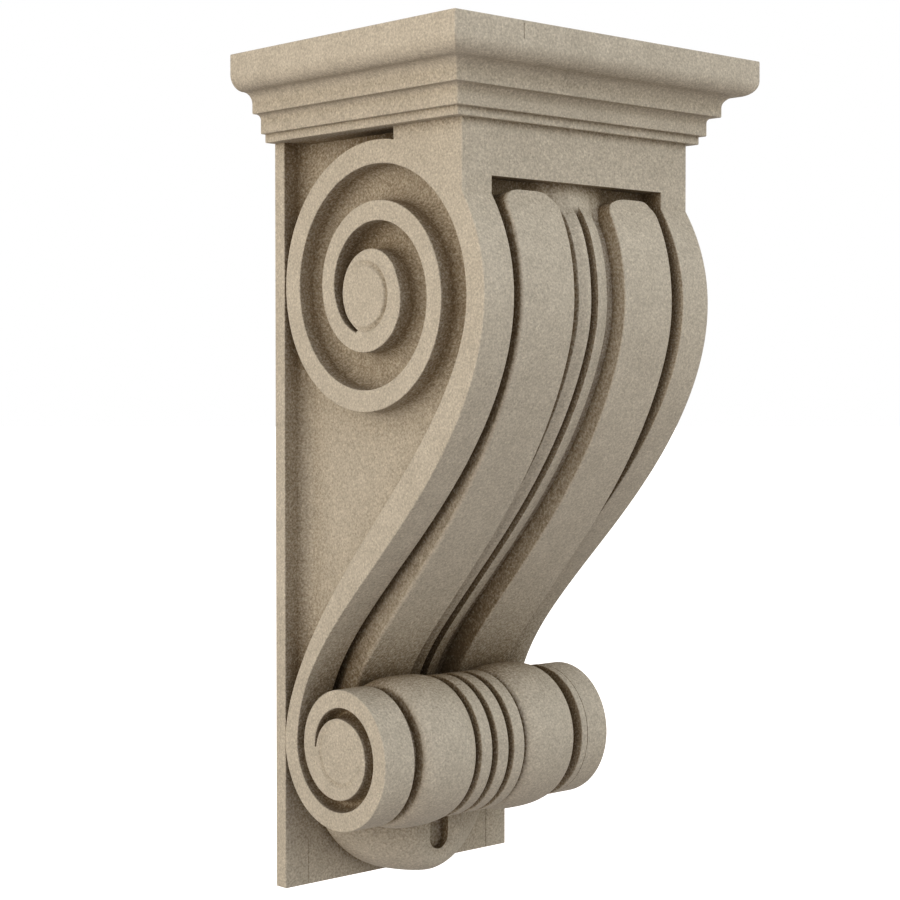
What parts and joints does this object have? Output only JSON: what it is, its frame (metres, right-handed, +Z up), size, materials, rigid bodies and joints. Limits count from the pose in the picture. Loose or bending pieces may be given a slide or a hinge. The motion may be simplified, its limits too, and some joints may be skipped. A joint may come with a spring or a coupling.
{
  "type": "stone corbel",
  "caption": "Carved stone scroll corbel: moulded cap over an S-shaped bracket with side volutes, banded front, turned foot roll and a slotted drop, bedded flat on a wall.",
  "frame": {"origin": "middle of the flat back face that beds against the wall", "axes": "+X across the wall to the right, +Y into the wall, +Z up; the corbel stands out from the wall towards -Y"},
  "size_m": [0.3008, 0.235, 0.6],
  "materials": {
    "stone": "matte, fine sandy grain"
  },
  "bodies": {
    "root": {"corbel": "stone"}
  },
  "joints": []
}
